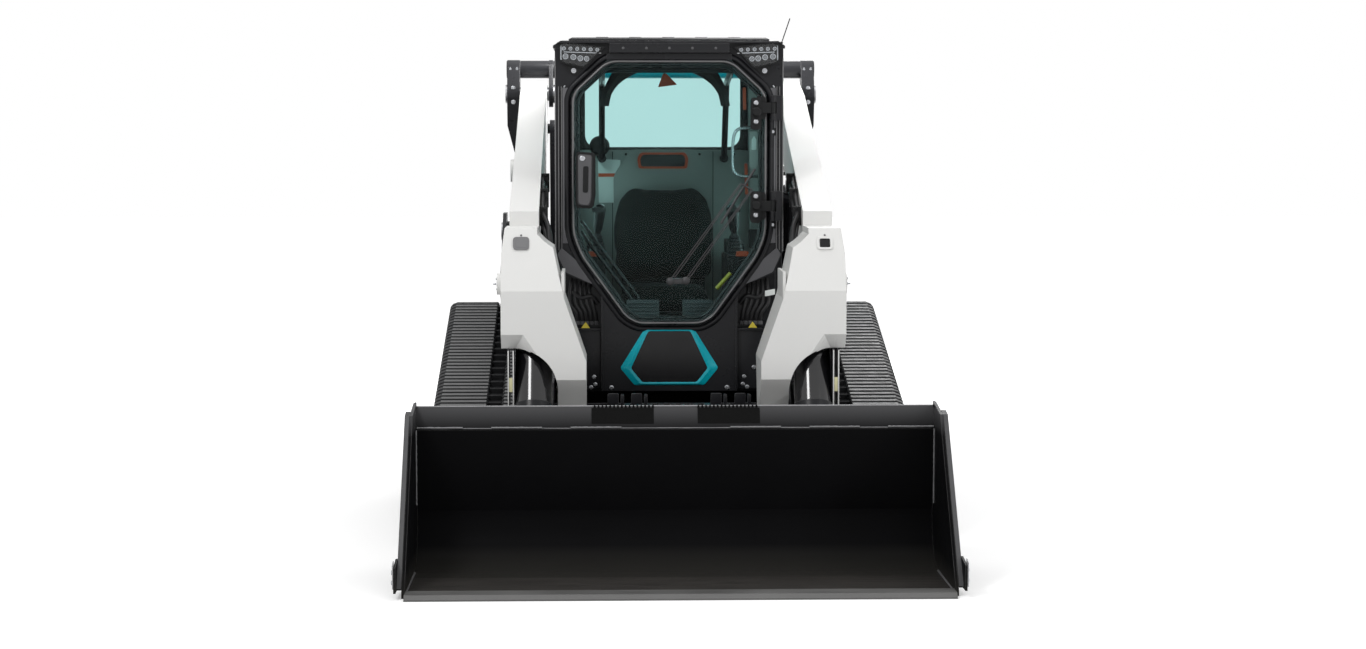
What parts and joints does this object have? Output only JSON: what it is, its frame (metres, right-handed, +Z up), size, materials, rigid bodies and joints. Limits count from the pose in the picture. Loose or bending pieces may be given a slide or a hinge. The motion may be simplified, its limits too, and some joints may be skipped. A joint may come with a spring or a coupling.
{
  "type": "compact track loader",
  "caption": "Tracked loader with vertical-path lift arms, glazed cab, hinged door, tailgate and hood, and a wide tilting bucket.",
  "frame": {"origin": "on the ground under the middle of the machine", "axes": "+X the machine's left, -Y forwards to the bucket, +Z up"},
  "size_m": [2.076, 3.7, 2.2],
  "materials": {
    "arm_white": "satin",
    "frame_black": "satin",
    "bucket_black": "satin",
    "accent_teal": "satin",
    "rubber_belt": "matte",
    "cast_black": "satin",
    "pin_steel": "satin",
    "rod_chrome": "polished",
    "glass_tint": "polished",
    "plastic_black": "matte",
    "rubber_seal": "matte",
    "seat_fabric": "matte",
    "lamp_lens": "polished",
    "motor_grey": "satin",
    "lamp_red": "polished"
  },
  "bodies": {
    "chassis": {"track_belt_left": "rubber_belt", "track_belt_right": "rubber_belt", "track_wheels": "cast_black", "track_frames": "frame_black", "final_drives": "cast_black", "drive_sprockets": "cast_black", "frame_sides": "frame_black", "belly_pan": "frame_black", "towers": "frame_black", "frame_pins": "pin_steel", "cab_front_frame": "frame_black", "cab_roof": "frame_black", "cab_sides": "frame_black", "cab_rear_wall": "frame_black", "cab_windows": "glass_tint", "cab_floor": "frame_black", "front_aprons": "frame_black", "nose_bezel": "accent_teal", "headlights": "lamp_lens", "antenna": "plastic_black", "seat_base": "plastic_black", "seat_cushion": "seat_fabric", "seat_back": "seat_fabric", "consoles": "plastic_black", "joysticks": "rubber_seal", "seat_bar": "frame_black", "hinge_mounts": "frame_black", "rear_lamps": "lamp_red", "power_block": "motor_grey"},
    "rear_link": {"rear_link_legs": "frame_black", "cross_tube": "accent_teal", "rear_link_pins": "pin_steel"},
    "control_links": {"control_links": "frame_black"},
    "lift_barrels": {"lift_barrels": "frame_black"},
    "lift_rods": {"lift_rods": "rod_chrome"},
    "lift_arms": {"lift_arm_left": "arm_white", "lift_arm_right": "arm_white", "boot_left": "arm_white", "boot_right": "arm_white", "boot_pins": "arm_white", "cross_member": "frame_black"},
    "tilt_barrels": {"tilt_barrels": "frame_black"},
    "tilt_rods": {"tilt_rods": "rod_chrome"},
    "quick_attach": {"carrier": "frame_black", "carrier_pins": "pin_steel", "bucket_shell": "bucket_black", "bucket_sides": "bucket_black", "cutting_edge": "bucket_black", "bucket_mount": "bucket_black"},
    "cab_door": {"door_glass": "glass_tint", "door_seal": "rubber_seal", "door_fittings": "plastic_black", "wiper": "plastic_black"},
    "tailgate": {"tailgate": "frame_black"},
    "rear_hood": {"rear_hood": "frame_black"}
  },
  "joints": [
    {"name": "lift", "type": "hinge", "parent": "chassis", "child": "rear_link", "pos_m": [0, 1.595, 1.199], "axis": [-1, 0, 0], "range_deg": [0, 42.3]},
    {"name": "arm_on_link", "type": "hinge", "parent": "rear_link", "child": "lift_arms", "pos_m": [0, 1.408, 1.86], "axis": [-1, 0, 0], "range_deg": [0, 20.92]},
    {"name": "control_link_foot", "type": "hinge", "parent": "chassis", "child": "control_links", "pos_m": [0, 1.587, 1.092], "axis": [-1, 0, 0], "range_deg": [0, 28.82]},
    {"name": "lift_barrel_base", "type": "hinge", "parent": "chassis", "child": "lift_barrels", "pos_m": [0, 1.374, 1], "axis": [-1, 0, 0], "range_deg": [0, 35.55]},
    {"name": "lift_rod_slide", "type": "slide", "parent": "lift_barrels", "child": "lift_rods", "axis": [0, -0.543, 0.8397], "range_m": [0, 0.38256]},
    {"name": "bucket_tilt", "type": "hinge", "parent": "lift_arms", "child": "quick_attach", "pos_m": [0, -0.85, 0.235], "axis": [-1, 0, 0], "range_deg": [-105, 25]},
    {"name": "tilt_barrel_base", "type": "hinge", "parent": "lift_arms", "child": "tilt_barrels", "pos_m": [0, -0.59, 1.07], "axis": [-1, 0, 0], "range_deg": [-3.2, 0.8]},
    {"name": "tilt_rod_slide", "type": "slide", "parent": "tilt_barrels", "child": "tilt_rods", "axis": [0, -0.4448, -0.8956], "range_m": [-0.05068, 0.21125]},
    {"name": "cab_door", "type": "hinge", "parent": "chassis", "child": "cab_door", "pos_m": [0.434, -0.195, 1.4], "axis": [0, 0, 1], "range_deg": [0, 75]},
    {"name": "tailgate", "type": "hinge", "parent": "chassis", "child": "tailgate", "pos_m": [-0.495, 1.84, 0.85], "axis": [0, 0, 1], "range_deg": [0, 100]},
    {"name": "rear_hood", "type": "hinge", "parent": "chassis", "child": "rear_hood", "pos_m": [0, 1.078, 1.338], "axis": [1, 0, 0], "range_deg": [0, 45]}
  ],
  "couplings": [
    {"joint": "arm_on_link", "follows": "lift", "ratio": 0.4941},
    {"joint": "control_link_foot", "follows": "lift", "ratio": 0.6809},
    {"joint": "lift_barrel_base", "follows": "lift", "ratio": 0.84},
    {"joint": "lift_rod_slide", "follows": "lift", "m_per_rad": 0.5175},
    {"joint": "tilt_barrel_base", "follows": "bucket_tilt", "ratio": 0.03},
    {"joint": "tilt_rod_slide", "follows": "bucket_tilt", "m_per_rad": -0.115}
  ]
}
